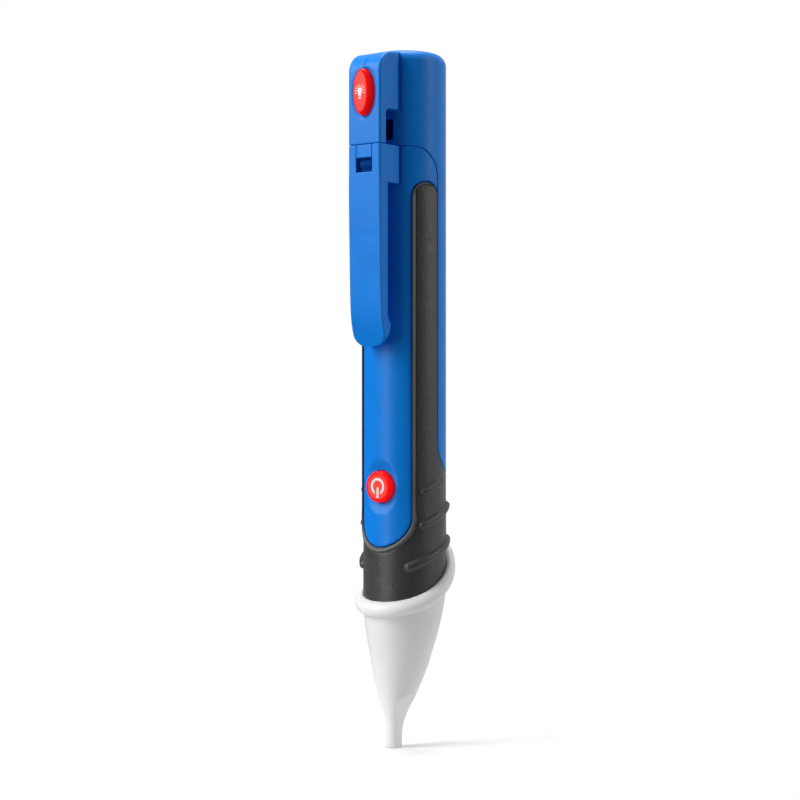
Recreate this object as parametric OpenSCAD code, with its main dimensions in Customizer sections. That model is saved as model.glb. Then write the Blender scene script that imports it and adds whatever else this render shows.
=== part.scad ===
// Non contact voltage tester: a pen with a rubber grip, a pocket clip, a white probe tip,
// two cells in a carrier that slides out with the rear shell, and a flashlight in its head.
// The pen stands on its probe. +Z runs from the probe to the head, -Y is the clip side.

/* [Body] */
// Height of the whole pen
pen_h = 176.9; // [176.5:0.1:178]
// Radius of the blue barrel
barrel_r = 10.5; // [10.4:0.05:10.6]
// Wall of the rear shell
rear_wall = 1.6; // [1.2:0.1:1.6]
// Outer radius of the rubber grip
grip_r = 10.7; // [10.6:0.05:10.9]
// Outer radius of the front shell under the rubber
core_r = 9.6; // [9.4:0.1:9.7]
// Inner radius of the front shell
core_bore_r = 8.4; // [8.35:0.05:8.45]
// Distance of the barrel's axis behind the probe's end
axis_y = 4.7; // [4:0.1:5]

/* [Front panel] */
// Half width of the blue front panel
panel_half_w = 7.8; // [7.4:0.1:8]
// Height of the centre of the panel's round lower end
panel_end_z = 58.8; // [58:0.2:60]
// Width of the groove between panel and rubber
groove_w = 0.18; // [0.1:0.02:0.3]
// Width of the raised rubber bead around the panel
bead_w = 0.65; // [0.4:0.05:0.9]

/* [Rear shell] */
// Height of the seam between the head and the front shell
seam_z = 151.6; // [151:0.2:152]
// Height of the rear shell's lower edge
rear_end_z = 69; // [68:0.5:70]
// Radius of the seam's upper corner
seam_top_r = 8; // [7:0.5:8]
// Radius of the seam's lower corner
seam_low_r = 8.5; // [8:0.5:8.5]
// Gap along the seam
seam_gap = 0.1; // [0.08:0.02:0.2]

/* [Head block and clip] */
// Half width of the head block and of the clip
block_half_w = 5.2; // [5:0.05:5.3]
// Distance of the block's front face before the barrel's axis
block_front_y = 16.6; // [16.4:0.1:16.8]
// Lower end of the clip base
clip_base_z = 142.1; // [141.5:0.1:142.5]
// Lower end of the clip arm
clip_end_z = 101.2; // [100:0.2:103]
// Distance of the clip's inner face before the barrel's axis
clip_inner_y = 13.35; // [13.2:0.05:13.5]
// Distance of the strap slot's front wall before the barrel's axis
slot_front_y = 14.2; // [14.1:0.05:14.3]
// Height of the strap slot
strap_slot_h = 8.8; // [8:0.1:8.8]

/* [Buttons] */
// Height of the power button's centre
power_z = 66.2; // [65.5:0.1:67]
// Radius of the power button
power_r = 4.2; // [4:0.05:4.25]
// Height of the flashlight button's centre
light_z = 164.6; // [164.4:0.1:164.8]
// Half width of the flashlight button
light_half_w = 2.75; // [2.6:0.05:2.9]
// Height of the flashlight button
light_h = 11.6; // [11:0.2:11.6]
// Gap around a button
button_gap = 0.1; // [0.06:0.02:0.15]
// Travel of a button
button_travel = 0.5; // [0.3:0.1:0.5]

/* [Probe] */
// Slope of the collar on the barrel's axis, as rise over run
collar_slope = 0.6; // [0.56:0.01:0.64]
// Radius of the collar's curve, seen from the side
collar_curve_r = 48; // [44:1:60]
// Height of the collar's upper face on the barrel's axis
collar_z = 41.3; // [41:0.1:41.6]
// Outer radius of the collar
collar_r = 12.8; // [12.6:0.1:13]
// Height of the collar's bead
collar_bead_h = 3.7; // [3.5:0.1:3.9]

/* [Cells] */
// Radius of a cell
cell_r = 5.25; // [5:0.05:5.25]
// Length of a cell with its cap
cell_len = 44.5; // [44:0.1:44.5]
// Distance of the cells' axis behind the barrel's axis
cell_y = 3; // [2.9:0.05:3]
// Height of the lower cell's flat end
cell_z = 64; // [63.8:0.1:64]

/* [Hidden] */
$fn = 64;

blue = "royalblue";
deep_blue = "mediumblue";
rubber_black = "#2b2b2d";
probe_white = "whitesmoke";
button_red = "red";
board_green = "seagreen";
part_black = "#202020";
cell_blue = "slategray";
spring_steel = "silver";
contact_brass = "goldenrod";

far = 40;                                      // reach of a cutting block past the pen
eps = 0.01;
rear_bore_r = barrel_r - rear_wall;
grip_in_r = core_r + 0.02;                     // the rubber sits on the shell
bead_r = grip_r + 0.25;
grip_top_r = (grip_r * cos(50)) / 2;           // round upper end of the rubber, seen from the side
grip_top_z = 139.05;
rib_w = 1.8;
rib_rise = 0.55;
neck_bore_z = 50;                              // below this height the neck's bore is narrower
neck_bore_r = 7.3;
spigot_r = 8.35;
spigot_z = 35.5;
spigot_gap = 0.05;
head_wall = 2.4;
head_edge_r = 2.1;                             // rounding of the head's upper edge
dome_r = 36;                                   // radius of the domed top
block_edge_r = 0.8;
block_top_r = 4.6;                             // rounding between the block's front and top
block_top_z = 174.9;                           // the block's top where that rounding starts
block_back_z = 175.3;                          // and where it meets the barrel
block_back_y = -6;
slot_fillet_r = 1.2;
base_foot_half_w = 3;                          // foot of the clip base, let into the front shell
base_foot_in = 1.5;                            // its distance from the clip base's lower end
base_foot_h = 7;
base_foot_y = -9.5;
base_screw_z = clip_base_z + 5;
slot_end_z = seam_z + strap_slot_h;
board_y = -5;                                  // front face of the main board
board_t = 1;
board_back_y = board_y + board_t;
board_low_z = 20;
board_top_z = 139;
boss_z = [56, 84, 122];                        // heights of the board's three screws
boss_r = 1.9;
pilot_r = 0.85;
thread_r = 0.82;
screw_way_r = 0.95;
screw_head_r = 1.5;
recess_y = -9.39;                              // flat floor of the recess around the power button
recess_half_w = 4.72;
recess_h = 13.8;
flange_r = 4.75;
flange_pocket_y = -8.45;
rail_low_z = 80;
rail_top_z = 141;
rail_in_x = 7.2;
rail_out_x = 8.62;
rail_front_y = -2.2;
rail_back_y = 1;
groove_front_y = -0.85;
groove_back_y = 0.05;
groove_out_x = 8.2;
tongue_t = 0.7;
tongue_y = -0.75;
tongue_in_x = 4.6;
tongue_out_x = 8.1;
tray_r = 8.25;
tray_low_z = 58.6;
tray_top_z = 154.8;
tray_screw = [5.75, 4.5];                      // place of the tray's two screws beside and behind the axis
tray_screw_end_z = 162;
tray_post_r = 1.7;
tray_floor_t = 1.2;
tray_cell_r = cell_r + 0.1;
cell_top_z = cell_z + 2 * cell_len;
strip_t = 0.2;
strip_in_x = 5;
strip_out_x = 6.6;
light_board_y = -9.9;
light_board_t = 0.8;
light_board_low_z = 161.6;
light_board_top_z = 172.4;
light_pocket_top_z = 173;
light_recess_y = -15.8;
slot_hole_half_w = 3.8;                        // opening in the barrel's wall behind the strap slot
slot_hole_low_z = seam_z + 1.6;
slot_hole_top_z = seam_z + 6.8;
light_flange_y = -14.9;
light_flange_low_z = 161.6;
light_flange_top_z = 168.2;
catch_front_y = -15.2;
catch_t = 0.8;
catch_hook_y = -15.9;
catch_half_w = 2.2;
catch_low_z = 145;
catch_top_z = 156.4;
window_half_w = 2.55;
window_low_z = 144.7;
window_top_z = 148.3;
clip_pocket_z = 143.6;                         // lower end of the clip base's pocket for the catch
clip_line_w = 0.24;                            // fine line on the clip base beside the window
led_y = -1;
led_r = 2.5;
led_dome_z = 172.4;
lens_r = 3;

// Probe outline: height, offset of the centre to the clip side, radius.
probe_stations = [
    [31.2, 1.0, 9.6], [27.6, 1.35, 8.9], [24, 1.7, 8.0], [20.4, 2.1, 7.15], [16.9, 2.6, 6.1],
    [13.8, 3.15, 5.05], [10.8, 3.6, 4.1], [8.6, 3.95, 3.2], [6.7, 4.25, 2.5], [5.4, 4.4, 2.3],
    [4.2, 4.5, 2.22], [2, 4.6, 2.18], [0, 4.7, 2.15]
];
probe_wall = 1.15;
blade_half_w = 1.9;                            // the probe's end is flat on both sides
scallop_z = 7.8;
scallop_r = 7.2;
probe_sides = 72;
collar_sink = 1.5;                             // depth of the bead's middle below the seat

// ---- shared shapes -------------------------------------------------------------------------

module rod(r, low, high, x = 0, y = 0) {
    translate([x, y, low]) cylinder(r = r, h = high - low);
}

module slab(low, high) {
    translate(low) cube(high - low);
}

// A round pin along Y, from the front y to the back y.
module pin_y(r, front, back, x, z) {
    translate([x, back, z]) rotate([90, 0, 0]) cylinder(r = r, h = back - front);
}

// Extrudes an outline drawn as seen from the clip side, x to the right and z up.
module from_front(front, back) {
    translate([0, back, 0]) rotate([90, 0, 0]) linear_extrude(back - front) children();
}

// Extrudes an outline drawn as y to the right and z up, from -half_w to half_w.
module from_side(half_w) {
    rotate([90, 0, 90]) translate([0, 0, -half_w]) linear_extrude(2 * half_w) children();
}

module oval(half_w, h) {
    straight = h / 2 - half_w;
    square([2 * half_w, 2 * straight], center = true);
    for (s = [-1, 1]) translate([0, s * straight]) circle(half_w);
}

// The front shell's share of the pen, seen from the side, grown by gap along its seam.
module front_share(gap = 0) {
    corner_y = -seam_top_r;
    corner_z = seam_z - gap - seam_top_r;
    from_side(far) {
        translate([-far, -far]) square([far + gap, far + corner_z]);
        translate([-far, 0]) square([far + corner_y, seam_z + gap]);
        translate([corner_y, corner_z]) circle(seam_top_r + gap);
        translate([-far, -far]) square([2 * far, far + rear_end_z + gap]);
        difference() {
            translate([gap - eps, rear_end_z + gap - eps]) square(seam_low_r - gap + eps);
            translate([seam_low_r, rear_end_z + seam_low_r]) circle(seam_low_r - gap);
        }
    }
}

// The rubber's share above the collar, seen from the side, grown by gap at its round top.
module grip_share(gap = 0) {
    from_side(far) {
        translate([-far, -far]) square([2 * far, far + grip_top_z]);
        translate([-grip_top_r, grip_top_z]) circle(grip_top_r + gap);
    }
}

module panel_prism(grow = 0) {
    half_w = panel_half_w + grow;
    from_front(-far, -1) {
        translate([-half_w, panel_end_z]) square([2 * half_w, pen_h]);
        translate([0, panel_end_z]) circle(half_w);
    }
}

// Rise of the collar's curved upper face from the barrel's axis to a place y.
collar_tilt = atan(collar_slope);
collar_centre = collar_curve_r * [-sin(collar_tilt), cos(collar_tilt)];
function collar_rise(y) = collar_centre[1] - sqrt(pow(collar_curve_r, 2) - pow(y - collar_centre[0], 2));

// Everything above the collar's curved upper face.
module above_collar(lift = 0) {
    from_side(far) {
        translate(collar_centre + [0, collar_z]) circle(collar_curve_r - lift, $fn = 200);
        translate([-far, collar_z + far]) square([2 * far, pen_h]);
    }
}

// ---- front body ----------------------------------------------------------------------------

module front_outer() {
    intersection() {
        union() {
            rod(core_r, 20, grip_top_z);
            intersection() {
                rod(barrel_r, 40, pen_h);
                panel_prism();
            }
            difference() {
                rod(barrel_r, grip_top_z - 1, pen_h);
                difference() {
                    grip_share(groove_w);
                    rod(core_r, 0, pen_h);
                    panel_prism();
                }
            }
        }
        front_share();
        above_collar(0.02);
    }
}

// The clip base's foot, let into the front shell, grown by gap.
module base_foot(gap = 0) {
    w = base_foot_half_w + gap;
    low = clip_base_z + base_foot_in - gap;
    slab([-w, -barrel_r - 0.5, low], [w, base_foot_y + gap, low + base_foot_h + 2 * gap]);
}

module rail(side) {
    mirror([side < 0 ? 1 : 0, 0, 0]) difference() {
        slab([rail_in_x, rail_front_y, rail_low_z], [rail_out_x, rail_back_y, rail_top_z]);
        slab([rail_in_x - 1, groove_front_y, 0], [groove_out_x, groove_back_y, pen_h]);
    }
}

module front_shell() {
    color(blue) difference() {
        union() {
            difference() {
                union() {
                    front_outer();
                    rod(spigot_r, spigot_z, neck_bore_z);
                }
                rod(neck_bore_r, 0, neck_bore_z + eps);
                rod(core_bore_r, neck_bore_z, pen_h);
            }
            rail(1);
            rail(-1);
            for (z = boss_z) pin_y(boss_r, -core_bore_r - 0.5, board_y, 0, z);
        }
        for (z = boss_z) pin_y(pilot_r, -core_bore_r + 0.6, 0, 0, z);
        from_front(-far, recess_y) translate([0, power_z]) oval(recess_half_w, recess_h);
        pin_y(power_r + button_gap, -far, 0, 0, power_z);
        pin_y(flange_r + 0.2, flange_pocket_y, 0, 0, power_z);
        base_foot(0.05);
        pin_y(screw_way_r, -far, 0, 0, base_screw_z);
    }
}

// Seen from the side a rib is a straight bar with round ends, from one [y, z] to another.
module grip_rib(low_y, low_z, high_y, high_z) {
    bar_l = norm([high_y - low_y, high_z - low_z]);
    tilt = atan2(high_z - low_z, high_y - low_y);
    translate([low_y, low_z]) rotate(tilt) {
        translate([0, -rib_w / 2]) square([bar_l, rib_w]);
        circle(rib_w / 2);
        translate([bar_l, 0]) circle(rib_w / 2);
    }
}

module grip_ribs() {
    difference() {
        intersection() {
            rod(grip_r + rib_rise, 30, 90);
            from_side(far) {
                grip_rib(-4.5, 65.1, 1.2, 67.8);
                grip_rib(-4.8, 56.6, 5.4, 61.2);
                grip_rib(-7.6, 46.1, 6.8, 52.7);
            }
        }
        rod(grip_in_r, 0, pen_h);
        slab([-1.2, -far, 0], [1.2, far, pen_h]);
    }
}

module grip_sleeve() {
    color(rubber_black) difference() {
        intersection() {
            union() {
                difference() {
                    rod(grip_r, 30, grip_top_z + grip_top_r);
                    rod(grip_in_r, 0, pen_h);
                }
                intersection() {
                    difference() {
                        rod(bead_r, 45, grip_top_z - 2);
                        rod(grip_in_r, 0, pen_h);
                    }
                    panel_prism(groove_w + bead_w);
                }
                grip_ribs();
            }
            grip_share();
            front_share(-0.02);
            above_collar(0.02);
        }
        panel_prism(groove_w);
    }
}

module clip_plan() {
    r = block_edge_r;
    translate([-block_half_w, -block_front_y + r]) square([2 * block_half_w, far]);
    translate([-block_half_w + r, -block_front_y]) square([2 * (block_half_w - r), far]);
    for (s = [-1, 1]) translate([s * (block_half_w - r), -block_front_y + r]) circle(r);
}

module clip_base() {
    top_z = seam_z - 0.05;
    color(blue) difference() {
        union() {
            difference() {
                translate([0, 0, clip_base_z]) linear_extrude(top_z - clip_base_z) intersection() {
                    clip_plan();
                    translate([-far, -far]) square([2 * far, far]);
                }
                rod(barrel_r + 0.02, 0, pen_h);
            }
            base_foot();
        }
        slab([-window_half_w, -15.4, clip_pocket_z], [window_half_w, -12.6, pen_h]);
        slab([-window_half_w, -far, window_low_z], [window_half_w, -15, window_top_z]);
        pin_y(pilot_r, -12, 0, 0, base_screw_z);
        for (s = [-1, 1]) translate([s * (window_half_w - clip_line_w / 2), 0, 0])
            slab([-clip_line_w / 2, -far, window_top_z - eps],
                 [clip_line_w / 2, 0.25 - block_front_y, pen_h]);
    }
}

module clip_screw() {
    z = base_screw_z;
    color(spring_steel) difference() {
        union() {
            pin_y(thread_r, -11.8, -8, 0, z);
            pin_y(screw_head_r, -8.25, -7.4, 0, z);
        }
        slab([-0.2, -7.8, z - 1], [0.2, 0, z + 1]);
        slab([-1, -7.8, z - 0.2], [1, 0, z + 0.2]);
    }
}

module pocket_clip() {
    side = [
        [-clip_inner_y, clip_base_z - 0.05], [-clip_inner_y, 109.8], [-12.15, 107.9],
        [-11.9, 107.3], [-11.85, 106.7], [-12.05, 106], [-13.5, 101.9], [-13.9, 101.35],
        [-14.4, clip_end_z], [-14.9, 101.4], [-15.3, 102.1], [-15.65, 103.6], [-15.9, 106],
        [-16.1, 110], [-block_front_y, clip_base_z - 0.05]
    ];
    corner_r = 4;
    color(blue) intersection() {
        from_side(far) polygon(side);
        linear_extrude(pen_h) clip_plan();
        from_front(-far, 0) {
            translate([-block_half_w, clip_end_z + corner_r]) square([2 * block_half_w, far + 10]);
            translate([-block_half_w + corner_r, clip_end_z])
                square([2 * (block_half_w - corner_r), far]);
            for (s = [-1, 1])
                translate([s * (block_half_w - corner_r), clip_end_z + corner_r]) circle(corner_r);
        }
    }
}

// ---- probe ---------------------------------------------------------------------------------

// A ring of points: its height on the axis, its share of the collar's rise, its centre's y
// and its radius.
function ring(z, share, cy, r) = [
    for (i = [0:probe_sides - 1])
        let (a = 360 * i / probe_sides, y = cy + r * sin(a))
            [r * cos(a), y, z + share * collar_rise(y)]
];

// The seat for the barrel, and the lip around it.
function seat_rings() = [
    ring(collar_z - eps, 1, 0, spigot_r - 0.2),
    ring(collar_z - eps, 1, 0, 9.6),
    ring(collar_z - eps, 1, 0, grip_r + 0.06),
    ring(collar_z + 0.28, 1, 0, grip_r + 0.1)
];

// The collar's bead as rings that follow a round section, from the lip outwards and down.
function collar_rings() = [
    for (a = [80:-20:-80])
        let (
            half_h = collar_bead_h / 2,
            r = collar_r - half_h + half_h * cos(a),
            z = collar_z - collar_sink + half_h * sin(a)
        )
            ring(z, 1, 0.15, r)
];

// Rings that turn the collar's curve level over the cone's first few millimetres.
function cone_top_rings() = [
    for (k = [0:4])
        let (t = k / 5)
            ring(38.4 - 7.2 * t, pow(1 - t, 1.3), 0.2 - 1.2 * t, 10.4 - 0.8 * t)
];

function outer_rings() = concat(
    seat_rings(),
    collar_rings(),
    cone_top_rings(),
    [for (s = probe_stations) ring(s[0], 0, -s[1], s[2])]
);

function inner_rings() = concat(
    [for (s = [8:-1:0]) if (probe_stations[s][0] > 13)
        ring(probe_stations[s][0], 0, -probe_stations[s][1], probe_stations[s][2] - probe_wall)],
    [ring(spigot_z - 0.3, 0, 0, spigot_r + spigot_gap)],
    [ring(collar_z - eps, 1, 0, spigot_r + spigot_gap)]
);

module probe_tip() {
    color(probe_white) {
        inner = inner_rings();
        difference() {
            capped(outer_rings());
            capped([for (k = [len(inner) - 1:-1:0]) inner[k]], 1);
            rod(0.72, 4, 14, 0, -4.5);
            for (s = [-1, 1]) mirror([s < 0 ? 1 : 0, 0, 0]) {
                slab([blade_half_w, -far, -1], [far, far, scallop_z]);
                pin_y(scallop_r, -far, far, blade_half_w + scallop_r, scallop_z);
            }
        }
    }
}

// A closed loft: rings from the top down, with flat ends. lift raises the first ring.
module capped(rings, lift = 0) {
    n = probe_sides;
    m = len(rings);
    points = [for (k = [0:m - 1], p = rings[k]) k == 0 ? p + [0, 0, lift] : p];
    walls = [
        for (k = [0:m - 2], i = [0:n - 1], h = [0, 1])
            let (a = k * n + i, b = k * n + (i + 1) % n, c = a + n, d = b + n)
                h == 0 ? [a, b, d] : [a, d, c]
    ];
    first = [for (i = [1:n - 2]) [0, i + 1, i]];
    last = [for (i = [1:n - 2]) [(m - 1) * n, (m - 1) * n + i, (m - 1) * n + i + 1]];
    polyhedron(points = points, faces = concat(walls, first, last));
}

module sensor_antenna() {
    color(contact_brass) rod(0.55, 4.4, board_low_z, 0, -4.5);
}

module indicator_led() {
    y = -1.6;
    color("tomato") {
        rod(1.5, 15.6, 18.2, 0, y);
        translate([0, y, 15.6]) sphere(1.5);
        rod(1.75, 18.0, 18.7, 0, y);
        for (s = [-1, 1]) {
            slab([s * 0.95 - 0.2, y - 0.2, 18.5], [s * 0.95 + 0.2, y + 0.2, 22]);
            slab([s * 0.95 - 0.2, board_back_y, 21.6], [s * 0.95 + 0.2, y + 0.2, 22]);
        }
    }
}

// ---- main board ----------------------------------------------------------------------------

module main_pcb() {
    color(board_green) difference() {
        union() {
            slab([-3.6, board_y, board_low_z], [3.6, board_back_y, 30]);
            slab([-4.9, board_y, 26], [4.9, board_back_y, 52]);
            slab([-6.5, board_y, neck_bore_z + 0.4], [6.5, board_back_y, board_top_z]);
        }
        for (z = boss_z) pin_y(0.95, -far, 0, 0, z);
    }
}

module pcb_screws() {
    color(spring_steel) for (z = boss_z) difference() {
        union() {
            pin_y(thread_r, -7.6, board_back_y + 0.1, 0, z);
            pin_y(screw_head_r, board_back_y, board_back_y + 0.9, 0, z);
        }
        slab([-0.2, board_back_y + 0.5, z - 1], [0.2, 0, z + 1]);
        slab([-1, board_back_y + 0.5, z - 0.2], [1, 0, z + 0.2]);
    }
}

module controller_chip() {
    chip_z = 93;
    color(part_black) {
        slab([-1.95, board_back_y + 0.12, chip_z - 4.3], [1.95, board_back_y + 1.35, chip_z + 4.3]);
        for (k = [-3:3], s = [-1, 1]) {
            lead = [s * 2.45, board_back_y, chip_z + 1.27 * k];
            slab(lead + [-0.6, 0.6, -0.2], lead + [0.6, 0.8, 0.2]);
            slab(lead + [0.5 * s - 0.1, 0, -0.2], lead + [0.5 * s + 0.1, 0.8, 0.2]);
        }
    }
}

// Chip resistors and capacitors: x, z, width, height and how far each stands off the board.
smd_list = [
    [-4.6, 76, 1.6, 0.8, 0.45], [-4.6, 78.2, 1.6, 0.8, 0.45], [4.4, 77, 0.8, 1.6, 0.45],
    [4.6, 88, 1.6, 0.8, 0.45], [4.6, 90.4, 1.6, 0.8, 0.45], [4.8, 95, 1.25, 2, 0.85],
    [-4.8, 90, 1.25, 2, 0.85], [-4.6, 97, 1.6, 0.8, 0.45], [0, 101, 2, 1.25, 0.8],
    [2.6, 104, 0.8, 1.6, 0.45], [-2.6, 105.4, 1.6, 0.8, 0.45], [0.4, 109, 2.9, 1.3, 1.1],
    [-4.4, 112, 1.6, 0.8, 0.45], [4.2, 114, 1.6, 0.8, 0.45], [2.4, 73.4, 1.6, 0.8, 0.45],
    [-1.8, 116.4, 1.25, 2, 0.85]
];

module smd_parts() {
    color("dimgray") for (p = smd_list)
        slab([p[0] - p[2] / 2, board_back_y, p[1] - p[3] / 2],
             [p[0] + p[2] / 2, board_back_y + p[4], p[1] + p[3] / 2]);
}

// Two bent springs on the board that press on the carrier's strips.
module contact_leaves() {
    tip_y = -0.8;
    leaf = [
        [board_back_y, 127], [board_back_y + 0.2, 127], [board_back_y + 0.2, 130.6],
        [tip_y - 0.25, 133.4], [tip_y, 134], [tip_y - 0.25, 134.6], [tip_y - 1, 136],
        [tip_y - 1.2, 136], [tip_y - 0.5, 134.5], [tip_y - 0.25, 134], [tip_y - 0.5, 133.5],
        [board_back_y, 130.8]
    ];
    color(contact_brass) for (s = [-1, 1]) translate([s * 5.8, 0, 0]) from_side(0.6) polygon(leaf);
}

module buzzer() {
    z = 43.6;
    color(part_black) difference() {
        union() {
            pin_y(4.5, board_back_y, board_back_y + 3.9, 0, z);
            pin_y(4.1, board_back_y, board_back_y + 4.2, 0, z);
        }
        pin_y(0.9, board_back_y + 3, far, 0, z);
    }
}

// ---- power switch and button ---------------------------------------------------------------

// A tactile switch on a board, its face forward: body with a round well for the plunger.
module tact_body(back, z) {
    difference() {
        union() {
            slab([-3, back - 1.9, z - 3], [3, back, z + 3]);
            for (x = [-2.2, 2.2], dz = [-2.2, 2.2]) pin_y(0.45, back - 2.1, back - 1.8, x, z + dz);
        }
        pin_y(1.8, -far, back - 0.5, 0, z);
    }
}

module power_switch_body() {
    color(part_black) tact_body(board_y, power_z);
}

module power_switch_plunger() {
    color("ivory") pin_y(1.72, board_y - 2.6, board_y - 1.2, 0, power_z);
}

// A round cap with a softly rounded face: its profile turned about its own axis.
module round_cap(r, face_r, height) {
    edge = r - face_r;
    rotate_extrude() {
        square([face_r, height]);
        square([r, height - edge]);
        intersection() {
            translate([face_r, height - edge]) circle(edge);
            square([r, height]);
        }
    }
}

module power_button() {
    back_y = flange_pocket_y + 0.1;
    face_y = -11.2;
    color(button_red) {
        translate([0, back_y + 0.05, power_z]) rotate([90, 0, 0])
            round_cap(power_r, power_r - 0.8, back_y + 0.05 - face_y);
        pin_y(flange_r, back_y, -7.65, 0, power_z);
    }
}

// ---- carrier: rear shell, tray and cells ---------------------------------------------------

// Half section of the barrel: a gently domed top with a rounded edge.
module head_profile() {
    low = pen_h - dome_r;
    reach = dome_r - head_edge_r;
    edge_y = barrel_r - head_edge_r;
    edge = [edge_y, low + sqrt(pow(reach, 2) - pow(edge_y, 2))];
    turn = (edge - [0, low]) / reach;
    square([barrel_r, edge[1]]);
    translate(edge) circle(head_edge_r);
    intersection() {
        translate([0, low]) circle(dome_r, $fn = 400);
        polygon([[0, low], edge, edge + 2 * head_edge_r * turn, [0, pen_h + far]]);
    }
}

module head_block() {
    r = block_edge_r;
    bend_y = -block_front_y + block_top_r;
    hull() for (s = [-1, 1]) translate([s * (block_half_w - r), 0, 0]) {
        translate([0, -block_front_y + r, slot_end_z]) cylinder(r = r, h = 1, $fn = 32);
        for (a = [0:15:90]) translate([0, bend_y, block_top_z - block_top_r])
            translate((block_top_r - r) * [0, -cos(a), sin(a)]) sphere(r, $fn = 32);
        translate([0, block_back_y, block_back_z - r]) sphere(r, $fn = 32);
        translate([0, block_back_y, slot_end_z]) cylinder(r = r, h = 1, $fn = 32);
    }
}

// The narrow bar before the strap slot, with a fillet at the slot's upper end.
module head_bar() {
    r = slot_fillet_r;
    translate([0, 0, seam_z + seam_gap]) linear_extrude(slot_end_z - seam_z) intersection() {
        clip_plan();
        translate([-far, -far]) square([2 * far, far - slot_front_y]);
    }
    difference() {
        slab([-block_half_w, -slot_front_y - eps, slot_end_z - r],
             [block_half_w, -slot_front_y + r, slot_end_z + eps]);
        translate([0, -slot_front_y + r, slot_end_z - r]) rotate([0, 90, 0])
            cylinder(r = r, h = far, center = true);
    }
}

// Moves its children to each of the tray's two screws.
module at_tray_screws() {
    for (s = [-1, 1]) translate([s * tray_screw[0], tray_screw[1], 0]) children();
}

module rear_shell() {
    roof_z = pen_h - head_wall;
    line_w = 0.16;
    color(blue) difference() {
        union() {
            difference() {
                union() {
                    difference() {
                        rotate_extrude() head_profile();
                        front_share(seam_gap);
                    }
                    head_block();
                }
                rod(rear_bore_r, 0, roof_z);
            }
            head_bar();
            at_tray_screws() rod(tray_post_r, tray_top_z + 0.05, roof_z + 0.5);
        }
        at_tray_screws() rod(pilot_r, 0, tray_screw_end_z + 4);
        slab([-3.7, -15, light_board_low_z - 0.3], [3.7, -6, light_pocket_top_z]);
        slab([-slot_hole_half_w, -barrel_r - 1, slot_hole_low_z], [slot_hole_half_w, -6, slot_hole_top_z]);
        translate([0, 0, light_z]) {
            from_front(-far, light_recess_y) oval(light_half_w + 0.95, light_h + 2.1);
            from_front(-far, -13.95) oval(light_half_w + button_gap, light_h + 2 * button_gap);
        }
        slab([-catch_half_w - 0.15, catch_front_y - 0.1, 0],
             [catch_half_w + 0.15, -13, catch_top_z + 0.1]);
        rod(led_r + 0.12, 160, far + pen_h, 0, led_y);
        rod(lens_r + 0.05, pen_h - 1.4, far + pen_h, 0, led_y);
        slab([-line_w / 2, -far, light_z + 7.3], [line_w / 2, -barrel_r + 1, far + pen_h]);
        slab([-line_w / 2, -barrel_r, pen_h - 0.55], [line_w / 2, led_y - 3.4, far + pen_h]);
    }
}

module release_catch() {
    tongue = [
        [catch_front_y, catch_top_z], [catch_front_y, 147.6], [catch_hook_y, 147.45],
        [catch_hook_y, 146.4], [catch_front_y, 145.4], [catch_front_y, catch_low_z],
        [catch_front_y + catch_t, catch_low_z], [catch_front_y + catch_t, catch_top_z]
    ];
    hook_half_w = 1.8;
    color(deep_blue) {
        from_side(catch_half_w) polygon([tongue[0], tongue[5], tongue[6], tongue[7]]);
        from_side(hook_half_w) polygon(tongue);
    }
}

// Round section of the tray: two cheeks that hold the cells, open to the front.
module tray_section() {
    difference() {
        union() {
            difference() {
                intersection() {
                    circle(tray_r);
                    translate([-far, -0.05]) square([2 * far, far]);
                }
                for (s = [-1, 1]) translate([s * (rail_in_x - 0.1 + far / 2), 0])
                    square([far, 2 * (rail_back_y + 0.1)], center = true);
            }
            for (s = [-1, 1]) mirror([s < 0 ? 1 : 0, 0])
                translate([tongue_in_x, tongue_y]) square([tongue_out_x - tongue_in_x, tongue_t]);
        }
        translate([0, cell_y]) circle(tray_cell_r);
        translate([-3.2, cell_y]) square([6.4, far]);
    }
}

module tray_end(low, high, r) {
    difference() {
        rod(r, low, high);
        slab([-far, -far, low - 1], [far, -0.75, high + 1]);
        for (s = [-1, 1]) mirror([s < 0 ? 1 : 0, 0, 0])
            slab([rail_in_x - 0.1, -far, low - 1], [far, rail_back_y + 0.1, high + 1]);
    }
}

module battery_tray() {
    color("#3a3f46") difference() {
        union() {
            translate([0, 0, tray_low_z]) linear_extrude(cell_top_z - tray_low_z + 0.7) tray_section();
            tray_end(tray_low_z, tray_low_z + tray_floor_t, tray_r);
            tray_end(cell_top_z + 0.6, tray_top_z, tray_r);
        }
        at_tray_screws() {
            rod(screw_way_r, cell_top_z - 2, pen_h);
            rod(screw_head_r + 0.1, cell_top_z - 4, cell_top_z + 0.65);
        }
        for (s = [-1, 1]) mirror([s < 0 ? 1 : 0, 0, 0])
            slab([tongue_in_x - 0.1, -far, 0], [strip_out_x + 0.1, tongue_y + 0.22, pen_h]);
    }
}

module tray_screws() {
    head_z = cell_top_z - 0.3;
    color(spring_steel) at_tray_screws() difference() {
        union() {
            rod(screw_head_r, head_z, head_z + 0.85);
            rod(thread_r, head_z + 0.5, tray_screw_end_z);
        }
        slab([-0.2, -1, head_z - 1], [0.2, 1, head_z + 0.35]);
        slab([-1, -0.2, head_z - 1], [1, 0.2, head_z + 0.35]);
    }
}

module cell(low) {
    cap_h = 0.8;
    edge = 0.35;
    translate([0, cell_y, low]) rotate_extrude() {
        square([cell_r - edge, cell_len - cap_h]);
        translate([0, edge]) square([cell_r, cell_len - cap_h - 2 * edge]);
        for (z = [edge, cell_len - cap_h - edge]) intersection() {
            translate([cell_r - edge, z]) circle(edge, $fn = 32);
            translate([cell_r - edge, 0]) square([edge, cell_len]);
        }
        square([1.9, cell_len - 0.02]);
    }
}

module battery_1() {
    color(cell_blue) cell(cell_z);
}

module battery_2() {
    color(cell_blue) cell(cell_z + cell_len);
}

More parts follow.
